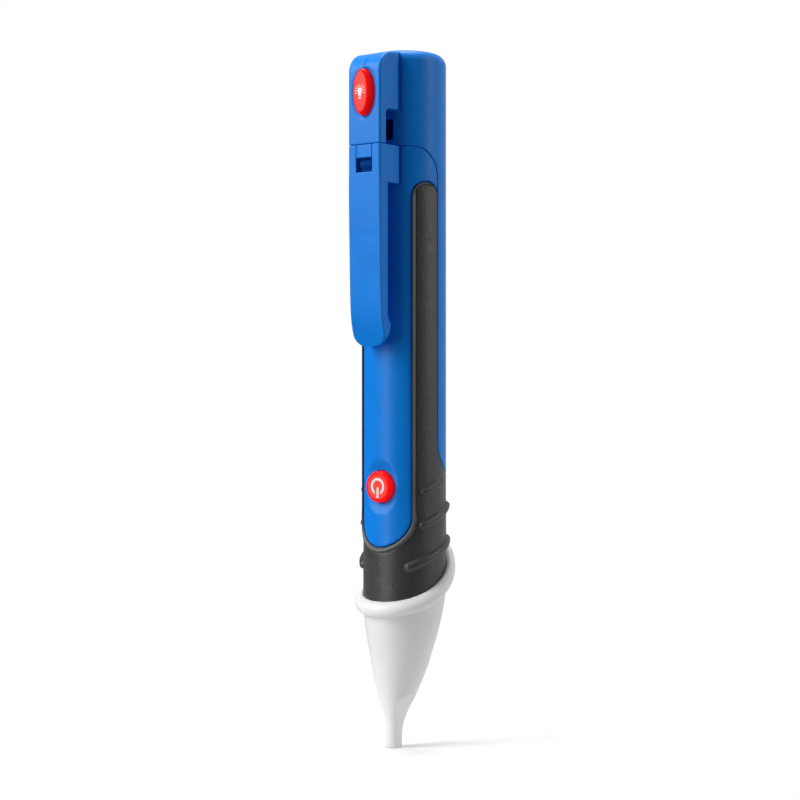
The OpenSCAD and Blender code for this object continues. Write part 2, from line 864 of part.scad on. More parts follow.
// A cone spring: a round wire swept along a helix that narrows to the cell.
module battery_spring() {
    wire_r = 0.25;
    turns = 4;
    steps = 18;
    low = tray_low_z + tray_floor_t + 0.3 + wire_r;
    high = cell_z - wire_r - 0.02;
    count = turns * steps;
    sides = 8;
    function spring_r(t) = 3.6 - 1.5 * t;
    function flat_ends(t) = t < 0.12 ? 0 : t > 0.88 ? 1 : (t - 0.12) / 0.76;
    points = [
        for (k = [0:count], j = [0:sides - 1])
            let (
                t = k / count, a = 360 * k / steps, b = 360 * j / sides,
                r = spring_r(t) + wire_r * cos(b),
                z = low + (high - low) * flat_ends(t) + wire_r * sin(b)
            )
                [r * cos(a), cell_y + r * sin(a), z]
    ];
    walls = [
        for (k = [0:count - 1], j = [0:sides - 1], h = [0, 1])
            let (a = k * sides + j, b = k * sides + (j + 1) % sides, c = a + sides, d = b + sides)
                h == 0 ? [a, d, b] : [a, c, d]
    ];
    first = [for (j = [1:sides - 2]) [0, j, j + 1]];
    last = [for (j = [1:sides - 2]) [count * sides, count * sides + j + 1, count * sides + j]];
    color(spring_steel) polyhedron(points = points, faces = concat(walls, first, last));
}

// The strip under the spring: a plate on the tray's floor and a rail up the tray's side.
module negative_strip() {
    plate_z = tray_low_z + tray_floor_t;
    color(contact_brass) {
        rod(4, plate_z, plate_z + 0.28, 0, cell_y);
        slab([-strip_out_x, tongue_y + 0.02, plate_z], [0, tongue_y + 0.2, plate_z + 0.28]);
        slab([-strip_out_x, tongue_y, plate_z], [-strip_in_x, tongue_y + strip_t, 140]);
        slab([-1.5, tongue_y, plate_z], [1.5, cell_y, plate_z + 0.28]);
    }
}

module positive_strip() {
    plate_z = cell_top_z + 0.05;
    color(contact_brass) {
        rod(3.4, plate_z, plate_z + 0.35, 0, cell_y);
        slab([-1.5, tongue_y, plate_z], [1.5, cell_y, plate_z + 0.35]);
        slab([0, tongue_y, plate_z], [strip_out_x, tongue_y + strip_t, plate_z + 0.35]);
        slab([strip_in_x, tongue_y, 122], [strip_out_x, tongue_y + strip_t, plate_z + 0.35]);
    }
}

// ---- flashlight ----------------------------------------------------------------------------

module flashlight_pcb() {
    color(board_green) slab([-3.4, light_board_y, light_board_low_z],
                            [3.4, light_board_y + light_board_t, light_board_top_z]);
}

module flashlight_switch_body() {
    color(part_black) tact_body(light_board_y, light_z);
}

module flashlight_switch_plunger() {
    color("ivory") pin_y(1.72, light_board_y - 3.4, light_board_y - 1.2, 0, light_z);
}

module flashlight_button() {
    flange_back_y = light_flange_y + 0.6;
    face_y = -18.2;
    edge = 0.9;
    color(button_red) {
        translate([0, 0, light_z]) hull() {
            from_front(face_y + edge, light_flange_y + 0.3) oval(light_half_w, light_h);
            from_front(face_y + 0.25, light_flange_y) oval(light_half_w - 0.35, light_h - 0.7);
            from_front(face_y, light_flange_y) oval(light_half_w - edge, light_h - 2 * edge);
        }
        slab([-3.4, light_flange_y, light_flange_low_z], [3.4, flange_back_y, light_flange_top_z]);
        pin_y(1.4, flange_back_y - 0.1, light_board_y - 3.42, 0, light_z);
    }
}

module flashlight_led() {
    color("lightyellow") {
        rod(led_r, 166.5, led_dome_z, 0, led_y);
        translate([0, led_y, led_dome_z]) sphere(led_r);
        rod(led_r + 0.4, 165.4, 166.6, 0, led_y);
        for (s = [-1, 1]) {
            slab([s * 1.27 - 0.25, led_y - 0.25, 164.5], [s * 1.27 + 0.25, led_y + 0.25, 165.5]);
            slab([s * 1.27 - 0.25, light_board_y + light_board_t, 164.2],
                 [s * 1.27 + 0.25, led_y + 0.25, 164.7]);
        }
    }
}

module flashlight_lens() {
    bulge_r = 7;
    color("azure") difference() {
        intersection() {
            rod(lens_r, pen_h - 1.35, pen_h + 1, 0, led_y);
            translate([0, led_y, pen_h - 0.05 - bulge_r]) sphere(bulge_r);
        }
        translate([0, led_y, led_dome_z]) sphere(led_r + 0.1);
    }
}

// ---- the pen -------------------------------------------------------------------------------

module place() {
    translate([0, axis_y, 0]) children();
}

place() front_shell();
place() grip_sleeve();
place() clip_base();
place() clip_screw();
place() pocket_clip();
place() probe_tip();
place() sensor_antenna();
place() indicator_led();
place() main_pcb();
place() pcb_screws();
place() controller_chip();
place() smd_parts();
place() contact_leaves();
place() buzzer();
place() power_switch_body();
place() power_switch_plunger();
place() power_button();
place() rear_shell();
place() release_catch();
place() battery_tray();
place() tray_screws();
place() battery_1();
place() battery_2();
place() battery_spring();
place() negative_strip();
place() positive_strip();
place() flashlight_pcb();
place() flashlight_switch_body();
place() flashlight_switch_plunger();
place() flashlight_button();
place() flashlight_led();
place() flashlight_lens();
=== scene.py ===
"""Looks of the non contact voltage tester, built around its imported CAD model.

The visible plastic and rubber pieces are meshed from distance fields in millimetres, in barrel
coordinates: X right, Y back from the barrel's axis, Z up from the probe's end.
"""

import math

import bpy
import numpy as np
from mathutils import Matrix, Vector


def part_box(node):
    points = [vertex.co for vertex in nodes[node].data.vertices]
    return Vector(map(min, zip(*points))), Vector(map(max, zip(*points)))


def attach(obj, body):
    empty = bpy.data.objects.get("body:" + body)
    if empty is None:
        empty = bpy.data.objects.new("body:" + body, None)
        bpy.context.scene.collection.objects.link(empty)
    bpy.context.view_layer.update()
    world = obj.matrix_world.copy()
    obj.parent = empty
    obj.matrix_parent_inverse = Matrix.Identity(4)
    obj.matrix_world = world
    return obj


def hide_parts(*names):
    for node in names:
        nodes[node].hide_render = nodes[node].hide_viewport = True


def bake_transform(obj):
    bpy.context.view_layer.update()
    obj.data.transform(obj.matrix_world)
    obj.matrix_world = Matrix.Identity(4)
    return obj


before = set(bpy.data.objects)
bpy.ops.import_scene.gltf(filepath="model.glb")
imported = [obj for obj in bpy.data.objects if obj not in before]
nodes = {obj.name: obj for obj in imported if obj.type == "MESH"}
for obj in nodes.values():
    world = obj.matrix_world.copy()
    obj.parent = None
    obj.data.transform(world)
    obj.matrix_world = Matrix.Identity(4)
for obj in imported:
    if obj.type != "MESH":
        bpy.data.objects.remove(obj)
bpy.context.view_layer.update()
MM = 0.001


def box_mm(node):
    """A CAD node's box in millimetres, with Y counted from the barrel's axis."""
    low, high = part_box(node)
    shift = np.array([0.0, AXIS_Y, 0.0])
    return np.array(low) / MM - shift, np.array(high) / MM - shift


# ---- dimensions from the frame ---------------------------------------------------------------

AXIS_Y = 0.0                                  # until the rear shell's box gives it
shell_high = box_mm("rear_shell")[1]
BARREL_R = float(shell_high[0])
AXIS_Y = float(shell_high[1]) - BARREL_R      # the barrel's axis stands behind the probe's end
base_low, base_high = box_mm("clip_base")
clip_low = box_mm("pocket_clip")[0]
tip_high = box_mm("probe_tip")[1]
power_low, power_high = box_mm("power_button")
light_low, light_high = box_mm("flashlight_button")

PEN_H = float(shell_high[2])
SEAM_Z = float(base_high[2]) + 0.05
CLIP_BASE_Z = float(base_low[2])
CLIP_END_Z = float(clip_low[2])
BLOCK_W = float(base_high[0])                 # half width of head block and clip
BLOCK_Y = float(-base_low[1])                 # front face of the block
COLLAR_R = float(tip_high[0])
POWER_Z = float(power_low[2] + power_high[2]) / 2
LIGHT_Z = float(light_low[2] + light_high[2]) / 2
LIGHT_H = float(light_high[2] - light_low[2])

# ---- dimensions that part.scad holds, in millimetres -----------------------------------------

GRIP_R = 10.5
GRIP_FLARE = 0.14
GRIP_IN_R = 9.62
CORE_R = 9.6
BORE_R = 8.4
NECK_BORE_R = 7.3
NECK_BORE_Z = 50.0
REAR_BORE_R = 8.9
REAR_END_Z = 69.0
SEAM_TOP_R = 8.0
SEAM_LOW_R = 8.5
PANEL_W = 7.68
PANEL_END_Z = 58.8
GROOVE_W = 0.3
ARCH_R = 3.57
ARCH_Z = 139.0
COLLAR_Z = 41.3
COLLAR_TILT = math.atan(0.6)
COLLAR_CURVE_R = 48.0
COLLAR_BEAD_H = 3.7
COLLAR_SINK = 1.0
SLOT_FRONT_Y = 14.2
SLOT_END_Z = SEAM_Z + 8.8
CATCH_Y = -15.2
CATCH_TOP_Z = 156.4
DOME_R = 36.0
BLOCK_DRAFT = 0.02
HEAD_EDGE_R = 2.1
POWER_R = 4.0
LIGHT_W = 2.75
LED_Y = -1.0
POST_X, POST_Y = 5.75, 4.5
BOSS_Z = (56.0, 84.0, 122.0)

# ---- distance fields -------------------------------------------------------------------------
# Negative inside, in millimetres.


def meet(a, b, r=0.0):
    """What is inside both, with its edge rounded to radius r."""
    if r <= 0:
        return np.maximum(a, b)
    u, v = np.maximum(r + a, 0), np.maximum(r + b, 0)
    return np.minimum(-r, np.maximum(a, b)) + np.hypot(u, v)


def join(a, b, r=0.0):
    """What is inside either, with a fillet of radius r between them."""
    if r <= 0:
        return np.minimum(a, b)
    u, v = np.maximum(r - a, 0), np.maximum(r - b, 0)
    return np.maximum(r, np.minimum(a, b)) - np.hypot(u, v)


def cut(a, b, r=0.0):
    """What is inside a and outside b."""
    return meet(a, -b, r)


def between(v, low, high):
    """Distance from the slab between two planes."""
    return np.maximum(low - v, v - high)


def brick(x, y, z, low, high, r=0.0):
    """A box between two opposite corners."""
    d = meet(between(x, low[0], high[0]), between(y, low[1], high[1]), r)
    return meet(d, between(z, low[2], high[2]), r)


def bar(u, v, start, end):
    """Distance from the straight line between two points."""
    du, dv = end[0] - start[0], end[1] - start[1]
    t = np.clip(((u - start[0]) * du + (v - start[1]) * dv) / (du * du + dv * dv), 0, 1)
    return np.hypot(u - start[0] - t * du, v - start[1] - t * dv)


def smooth_step(v, low, high):
    """Rises smoothly from 0 at low to 1 at high."""
    t = np.clip((v - low) / (high - low), 0, 1)
    return t * t * (3 - 2 * t)


def front_share(y, z, gap=0.0):
    """The front shell's share of the barrel, seen from the side."""
    upper_y, upper_z = -SEAM_TOP_R, SEAM_Z - SEAM_TOP_R
    d = meet(y - gap, z - (SEAM_Z + gap), SEAM_TOP_R)
    d = np.where((y < upper_y) | (z < upper_z), np.maximum(y - gap, z - SEAM_Z - gap), d)
    return join(d, z - (REAR_END_Z + gap), SEAM_LOW_R)


def panel(x, z):
    """Distance from the outline of the blue front panel, seen from the clip side."""
    return np.hypot(x, np.minimum(z - PANEL_END_Z, 0)) - PANEL_W


def arch(y, z):
    """The round upper end of the rubber, seen from the side."""
    return np.hypot(y + ARCH_R, np.maximum(z - ARCH_Z, 0)) - ARCH_R


def rubber_arch(x, y, z):
    """The arch, carried outwards from the rubber's own radius so that raised parts keep its outline."""
    return arch(y * GRIP_R / np.maximum(np.hypot(x, y), GRIP_R), z)


def above_collar(y, z):
    """Distance above the curved face that the barrel stands on."""
    centre_y = -COLLAR_CURVE_R * math.sin(COLLAR_TILT)
    centre_z = COLLAR_Z + COLLAR_CURVE_R * math.cos(COLLAR_TILT)
    return COLLAR_CURVE_R - np.hypot(y - centre_y, np.minimum(z, centre_z) - centre_z)


def ellipse(x, z, half_w, half_h):
    """Nearly the distance from an upright ellipse."""
    level = (x / half_w) ** 2 + (z / half_h) ** 2 - 1
    steepness = 2 * np.hypot(x / half_w ** 2, z / half_h ** 2)
    return level / np.maximum(steepness, 1 / half_h)


# ---- meshes from fields ----------------------------------------------------------------------

EDGES = [(a, b) for a in range(8) for b in range(8) if a < b and bin(a ^ b).count("1") == 1]


def corner(n):
    """The offsets of a grid cell's nth corner."""
    return n & 1, (n >> 1) & 1, (n >> 2) & 1


def surface(field, xs, ys, zs):
    """Vertices and quads of the field's zero surface, one vertex in each cell that it crosses."""
    axes = [np.asarray(a, float) for a in (xs, ys, zs)]
    values = field(axes[0][:, None, None], axes[1][None, :, None], axes[2][None, None, :])
    values = np.broadcast_to(values, [len(a) for a in axes])
    inside = values < 0
    count = np.zeros([n - 1 for n in values.shape], np.uint8)
    for n in range(8):
        i, j, k = corner(n)
        count += inside[i:i + count.shape[0], j:j + count.shape[1], k:k + count.shape[2]]
    cells = np.argwhere((count > 0) & (count < 8))
    total, hits = np.zeros((len(cells), 3)), np.zeros(len(cells))
    for a, b in EDGES:
        ends = []
        for n in (a, b):
            at = cells + np.array(corner(n))
            value = values[at[:, 0], at[:, 1], at[:, 2]]
            place = np.stack([axes[d][at[:, d]] for d in range(3)], 1)
            ends.append((value, place))
        (va, pa), (vb, pb) = ends
        crossed = (va < 0) != (vb < 0)
        t = np.where(crossed, va / np.where(crossed, va - vb, 1), 0)[:, None]
        total += np.where(crossed[:, None], pa + t * (pb - pa), 0)
        hits += crossed
    points = total / hits[:, None]
    index = np.full(count.shape, -1)
    index[tuple(cells.T)] = np.arange(len(cells))
    quads = []
    for d in range(3):
        e, f = (d + 1) % 3, (d + 2) % 3
        low = [slice(None)] * 3
        high = [slice(None)] * 3
        for other in (e, f):
            low[other] = high[other] = slice(1, -1)
        low[d], high[d] = slice(None, -1), slice(1, None)
        start, stop = inside[tuple(low)], inside[tuple(high)]
        for flip, mask in ((False, start & ~stop), (True, ~start & stop)):
            at = np.argwhere(mask)
            at[:, e] += 1
            at[:, f] += 1
            ring = []
            for de, df in ((0, 0), (1, 0), (1, 1), (0, 1)):
                cell = at.copy()
                cell[:, e] -= de
                cell[:, f] -= df
                ring.append(index[tuple(cell.T)])
            quads.append(np.stack(ring[::-1] if flip else ring, 1))
    return points, np.concatenate(quads)


def make_object(name, points, quads):
    """A mesh object from points in barrel millimetres."""
    mesh = bpy.data.meshes.new(name)
    world = (points + np.array([0.0, AXIS_Y, 0.0])) * MM
    mesh.vertices.add(len(world))
    mesh.vertices.foreach_set("co", world.astype(np.float32).ravel())
    mesh.loops.add(quads.size)
    mesh.loops.foreach_set("vertex_index", quads.astype(np.int32).ravel())
    mesh.polygons.add(len(quads))
    mesh.polygons.foreach_set("loop_start", np.arange(0, quads.size, 4, dtype=np.int32))
    mesh.polygons.foreach_set("use_smooth", np.ones(len(quads), bool))
    mesh.update(calc_edges=True)
    mesh.validate()
    obj = bpy.data.objects.new(name, mesh)
    bpy.context.scene.collection.objects.link(obj)
    return obj


def steps(*stretches):
    """Grid lines along stretches of (start, end, step)."""
    lines = [np.arange(a, b, s) for a, b, s in stretches] + [[stretches[-1][1]]]
    return np.concatenate(lines)


def moulded(name, field, xs, ys, zs, body, material, stands_for=()):
    """A piece meshed from a field, riding on a body and standing for CAD nodes."""
    points, quads = surface(field, xs, ys, zs)
    obj = make_object(name, points, quads)
    obj.data.materials.append(material)
    if body:
        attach(obj, body)
    if stands_for:
        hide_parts(*stands_for)
    return obj


# ---- materials -------------------------------------------------------------------------------


def new_material(name, color, roughness, metallic=0.0, **inputs):
    """A material with one main shader; other inputs go by their names with underscores."""
    mat = bpy.data.materials.new(name)
    mat.use_nodes = True
    shader = mat.node_tree.nodes["Principled BSDF"]
    shader.inputs["Base Color"].default_value = (*color, 1)
    shader.inputs["Roughness"].default_value = roughness
    shader.inputs["Metallic"].default_value = metallic
    for key, value in inputs.items():
        shader.inputs[key.replace("_", " ")].default_value = value
    return mat, shader


def link(mat, a, a_out, b, b_in):
    """Joins one node's output to another's input."""
    mat.node_tree.links.new(a.outputs[a_out], b.inputs[b_in])


def noise(mat, scale_mm, detail=2.0, rough=0.5):
    """Noise whose grains are about scale_mm across."""
    place = mat.node_tree.nodes.new("ShaderNodeTexCoord")
    tex = mat.node_tree.nodes.new("ShaderNodeTexNoise")
    tex.inputs["Scale"].default_value = 1 / (scale_mm * MM)
    tex.inputs["Detail"].default_value = detail
    tex.inputs["Roughness"].default_value = rough
    link(mat, place, "Object", tex, "Vector")
    return tex


def ramp(mat, source, low, high, start=0.3, end=0.7):
    """Maps a texture's value to a number between low and high."""
    node = mat.node_tree.nodes.new("ShaderNodeMapRange")
    node.inputs["From Min"].default_value = start
    node.inputs["From Max"].default_value = end
    node.inputs["To Min"].default_value = low
    node.inputs["To Max"].default_value = high
    link(mat, source, "Fac", node, "Value")
    return node


def vary_color(mat, shader, source, a, b):
    """Lets a texture run the base colour from a to b."""
    mix = mat.node_tree.nodes.new("ShaderNodeMix")
    mix.data_type = "RGBA"
    mix.inputs["A"].default_value = (*a, 1)
    mix.inputs["B"].default_value = (*b, 1)
    link(mat, ramp(mat, source, 0, 1), "Result", mix, "Factor")
    link(mat, mix, "Result", shader, "Base Color")


def add_bumps(mat, shader, layers):
    """Bump layers of (texture, height in mm, strength), chained."""
    last = None
    for tex, height, strength in layers:
        bump = mat.node_tree.nodes.new("ShaderNodeBump")
        bump.inputs["Strength"].default_value = strength
        bump.inputs["Distance"].default_value = height * MM
        link(mat, tex, "Fac", bump, "Height")
        if last:
            link(mat, last, "Normal", bump, "Normal")
        last = bump
    link(mat, last, "Normal", shader, "Normal")


def plastic(name, color, roughness, grain_mm, grain_h, spread=0.12, **inputs):
    """Moulded plastic: sand-textured, with slow changes of colour and sheen."""
    mat, shader = new_material(name, color, roughness, **inputs)
    darker = tuple(c * (1 - spread) for c in color)
    lighter = tuple(min(1, c * (1 + spread)) for c in color)
    vary_color(mat, shader, noise(mat, 9.0, 3), darker, lighter)
    uneven = ramp(mat, noise(mat, 2.2, 4), roughness - 0.05, roughness + 0.06)
    link(mat, uneven, "Result", shader, "Roughness")
    add_bumps(mat, shader, [(noise(mat, grain_mm, 2), grain_h, 0.6), (noise(mat, 14.0, 1), 0.02, 0.35)])
    return mat


blue_plastic = plastic("blue_plastic", (0.002, 0.235, 0.84), 0.36, 0.34, 0.09, spread=0.04,
                       Specular_IOR_Level=0.22, Coat_Weight=0.05, Coat_Roughness=0.2)
# A darker copy of the blue for the release catch: painted shade for the catch sitting back in its window.
catch_blue_painted_shade = plastic("catch_blue_painted_shade", (0.0005, 0.055, 0.27), 0.6, 0.2, 0.02, Specular_IOR_Level=0.03)
rubber = plastic("black_rubber", (0.031, 0.031, 0.032), 0.38, 0.38, 0.16, Sheen_Weight=0.2,
                 Specular_IOR_Level=0.65)
# A lighter grey copy of the rubber for the raised rim along the panel: a painted highlight on the rim's
# slope.
lip_rubber_painted_highlight = plastic("lip_rubber_painted_highlight", (0.10, 0.10, 0.10), 0.38, 0.3, 0.02, Sheen_Weight=0.3)
white_plastic = plastic("white_plastic", (0.90, 0.90, 0.902), 0.42, 0.3, 0.006, spread=0.012,
                        Subsurface_Weight=0.25, Subsurface_Scale=0.003, Subsurface_Radius=(1, 1, 1))
# The red keys glow a little by emission: a painted glow that brightens their shaded flanks, though they hold
# no lamp.
red_plastic_painted_glow = plastic("red_button", (0.95, 0.004, 0.006), 0.3, 0.25, 0.004, spread=0.04,
                      Specular_IOR_Level=0.12, Subsurface_Weight=0.6, Subsurface_Scale=0.002,
                      Emission_Color=(1, 0.004, 0.004, 1), Emission_Strength=0.34)
# Paler, pinker red for the keys' faces: a painted highlight, and a painted glow from its emission.
red_face_painted_light = plastic("red_face_painted_light", (0.92, 0.06, 0.045), 0.5, 0.2, 0.02, spread=0.06,
                   Specular_IOR_Level=0.25, Emission_Color=(1, 0.03, 0.02, 1), Emission_Strength=0.2)
print_white, _ = new_material("print_white", (0.9, 0.9, 0.9), 0.5)
tray_grey = plastic("tray_grey", (0.042, 0.048, 0.056), 0.5, 0.35, 0.03)
part_black = plastic("part_black", (0.014, 0.014, 0.015), 0.42, 0.15, 0.012)
plunger_ivory = plastic("plunger_ivory", (0.72, 0.68, 0.55), 0.45, 0.3, 0.006)


def metal(name, color, roughness, tarnish):
    """Rolled or drawn metal: fine streaks, and patches of tarnish."""
    mat, shader = new_material(name, color, roughness, metallic=1.0)
    vary_color(mat, shader, noise(mat, 3.0, 4), tarnish, color)
    place = mat.node_tree.nodes.new("ShaderNodeTexCoord")
    stretch = mat.node_tree.nodes.new("ShaderNodeMapping")
    stretch.inputs["Scale"].default_value = (1.0, 1.0, 0.06)
    streaks = noise(mat, 0.12, 2)
    link(mat, place, "Object", stretch, "Vector")
    link(mat, stretch, "Vector", streaks, "Vector")
    link(mat, ramp(mat, streaks, roughness - 0.08, roughness + 0.12), "Result", shader, "Roughness")
    add_bumps(mat, shader, [(streaks, 0.004, 0.4)])
    return mat


def along(mat, low_z, high_z):
    """How far up a node is between two heights, from 0 to 1."""
    place = mat.node_tree.nodes.new("ShaderNodeTexCoord")
    parts = mat.node_tree.nodes.new("ShaderNodeSeparateXYZ")
    share = mat.node_tree.nodes.new("ShaderNodeMapRange")
    share.inputs["From Min"].default_value = low_z
    share.inputs["From Max"].default_value = high_z
    link(mat, place, "Object", parts, "Vector")
    link(mat, parts, "Z", share, "Value")
    return share


def bands(mat, share, stops):
    """Flat bands of colour along a share, each from its own start."""
    node = mat.node_tree.nodes.new("ShaderNodeValToRGB")
    node.color_ramp.interpolation = "CONSTANT"
    points = node.color_ramp.elements
    while len(points) < len(stops):
        points.new(1.0)
    for point, (start, color) in zip(points, stops):
        point.position = start
        point.color = (*color, 1)
    link(mat, share, "Result", node, "Fac")
    return node


def cell_material(name, node):
    """A dry cell: bare steel ends, and a printed sleeve with a bright band near its positive end."""
    low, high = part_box(node)
    mat, shader = new_material(name, (0.5, 0.5, 0.5), 0.3)
    share = along(mat, low[2], high[2])
    steel, sleeve = (0.62, 0.61, 0.58), (0.012, 0.05, 0.17)
    band, line = (0.72, 0.36, 0.10), (0.55, 0.56, 0.58)
    look = bands(mat, share, [(0.0, steel), (0.012, sleeve), (0.665, line), (0.68, band), (0.955, steel)])
    bare = bands(mat, share, [(0.0, (1, 1, 1)), (0.012, (0, 0, 0)), (0.68, (0.85, 0.85, 0.85)),
                              (0.955, (1, 1, 1))])
    link(mat, look, "Color", shader, "Base Color")
    link(mat, bare, "Color", shader, "Metallic")
    link(mat, ramp(mat, noise(mat, 1.5, 4), 0.22, 0.38), "Result", shader, "Roughness")
    add_bumps(mat, shader, [(noise(mat, 4.0, 2), 0.03, 0.3)])
    return mat


def board_material():
    """A circuit board: green mask over raised tracks, with bare edges."""
    mat, shader = new_material("board_green", (0.01, 0.12, 0.045), 0.3, Coat_Weight=0.3)
    tree = mat.node_tree
    place = tree.nodes.new("ShaderNodeTexCoord")
    turn = tree.nodes.new("ShaderNodeMapping")
    turn.inputs["Rotation"].default_value = (math.radians(90), 0, 0)
    tracks = tree.nodes.new("ShaderNodeTexBrick")
    tracks.inputs["Scale"].default_value = 420
    tracks.inputs["Mortar Size"].default_value = 0.055
    tracks.inputs["Color1"].default_value = (0.008, 0.10, 0.04, 1)
    tracks.inputs["Color2"].default_value = (0.01, 0.13, 0.05, 1)
    tracks.inputs["Mortar"].default_value = (0.03, 0.24, 0.10, 1)
    link(mat, place, "Object", turn, "Vector")
    link(mat, turn, "Vector", tracks, "Vector")
    facing = tree.nodes.new("ShaderNodeSeparateXYZ")
    link(mat, place, "Normal", facing, "Vector")
    flat = tree.nodes.new("ShaderNodeMath")
    flat.operation = "ABSOLUTE"
    link(mat, facing, "Y", flat, "Value")
    mix = tree.nodes.new("ShaderNodeMix")
    mix.data_type = "RGBA"
    mix.inputs["A"].default_value = (0.30, 0.24, 0.10, 1)
    link(mat, flat, "Value", mix, "Factor")
    link(mat, tracks, "Color", mix, "B")
    link(mat, mix, "Result", shader, "Base Color")
    add_bumps(mat, shader, [(tracks, 0.02, 0.5)])
    return mat


def clear_material(name, color, roughness):
    """Clear resin or lens plastic with faint flow marks."""
    mat, shader = new_material(name, color, roughness, Transmission_Weight=1.0, IOR=1.5)
    link(mat, ramp(mat, noise(mat, 2.0, 3), roughness, roughness + 0.08), "Result", shader, "Roughness")
    add_bumps(mat, shader, [(noise(mat, 1.2, 2), 0.004, 0.2)])
    return mat


steel = metal("spring_steel", (0.58, 0.58, 0.60), 0.28, (0.42, 0.41, 0.40))
brass = metal("contact_brass", (0.78, 0.58, 0.26), 0.3, (0.52, 0.36, 0.15))
board = board_material()
looks = {
    "clip_screw": steel, "pcb_screws": steel, "tray_screws": steel, "battery_spring": steel,
    "sensor_antenna": brass, "contact_leaves": brass, "negative_strip": brass, "positive_strip": brass,
    "main_pcb": board, "flashlight_pcb": board, "controller_chip": part_black, "buzzer": part_black,
    "power_switch_body": part_black, "flashlight_switch_body": part_black,
    "power_switch_plunger": plunger_ivory, "flashlight_switch_plunger": plunger_ivory,
    "smd_parts": metal("solder_grey", (0.30, 0.29, 0.28), 0.4, (0.16, 0.14, 0.12)),
    "release_catch": catch_blue_painted_shade, "battery_tray": tray_grey,
    "battery_1": cell_material("cell_1", "battery_1"), "battery_2": cell_material("cell_2", "battery_2"),
    "indicator_led": clear_material("red_resin", (1.0, 0.16, 0.08), 0.1),
    "flashlight_led": clear_material("warm_resin", (1.0, 0.95, 0.72), 0.12),
    "flashlight_lens": clear_material("lens_clear", (0.95, 0.98, 1.0), 0.03),
}
for node, mat in looks.items():
    nodes[node].data.materials.clear()
    nodes[node].data.materials.append(mat)

# ---- pieces ----------------------------------------------------------------------------------

RIB_R = 1.1
RIB_RISE = 1.03
RIM_RISE = 0.55
RIM_GROOVE = 0.15
RIM_FADE_Y = -1.2
# Each rib's two ends: angle from the front in degrees, and height.
RIBS = (((65.5, 65.1), (96.5, 67.8)), ((63.5, 56.6), (121, 61.2)), ((44.5, 46.1), (129, 52.6)))


def grip_radius(z):
    """The rubber's outer radius, a little wider towards the collar."""
    return GRIP_R + GRIP_FLARE * smooth_step(z, 64, 44)


def bead_height(edge, width):
    """The raised rim along the panel: a slope that faces the panel, a crest and a fine groove."""
    crest = RIM_RISE * smooth_step(edge, -0.1, 0.75 * width) * smooth_step(edge, 1.2 * width, 0.85 * width)
    groove = RIM_GROOVE * smooth_step(np.abs(edge - 1.3 * width), 0.3 * width, 0.0)
    return crest - groove


def lip(x, y, z):
    """Distance into the rubber from its edge along the panel and the arch, and the raised rim's width."""
    edge = np.where(y < 0, panel(x, z) - GROOVE_W, 9.0)
    rim = np.where(z > ARCH_Z - 2, np.minimum(edge, -rubber_arch(x, y, z)), edge)
    return edge, rim, 0.34 + 0.6 * smooth_step(z, PANEL_END_Z + 2, PANEL_END_Z - 7)


def grip_field(x, y, z):
    """The rubber grip with its raised rim and ribs."""
    rho = np.hypot(x, y)
    radius = grip_radius(z)
    arc = radius * np.abs(np.arctan2(x, -y))
    edge, rim, width = lip(x, y, z)
    bead = bead_height(rim, width) * smooth_step(y, RIM_FADE_Y, -ARCH_R)
    ribs = 0.0
    for (a0, z0), (a1, z1) in RIBS:
        d = bar(arc, z, (GRIP_R * math.radians(a0), z0), (GRIP_R * math.radians(a1), z1))
        ribs = np.maximum(ribs, RIB_RISE * np.sqrt(np.clip(1 - (d / RIB_R) ** 2, 0, 1)))
    skin = rho - radius - bead - ribs
    d = meet(skin, 0.03 - above_collar(y, z), 0.25)
    d = meet(d, front_share(y, z, -0.05), 0.25)
    d = meet(d, -edge, 0.05)
    d = meet(d, np.where(z > ARCH_Z - 2, rubber_arch(x, y, z), -1.0), 0.05)
    return cut(d, rho - GRIP_IN_R)


RECESS_H = 13.8
RECESS_DEPTH = 1.15
RECESS_POWER = 2.6                            # higher is flatter in the middle
POWER_WELL_R = 4.14
POWER_FLANGE_ROOM_R = 4.95
CREASE_R = 0.43
BLOCK_REACH = 7.6                             # from the block's face back to the barrel
BOSS_R = 1.9
PILOT_R = 0.85


def crease(x, y):
    """The thin groove where the block's sides meet the barrel."""
    side_x = BLOCK_W + BLOCK_DRAFT * BLOCK_REACH
    return np.hypot(np.abs(x) - side_x, y + math.sqrt(BARREL_R ** 2 - side_x ** 2)) - CREASE_R


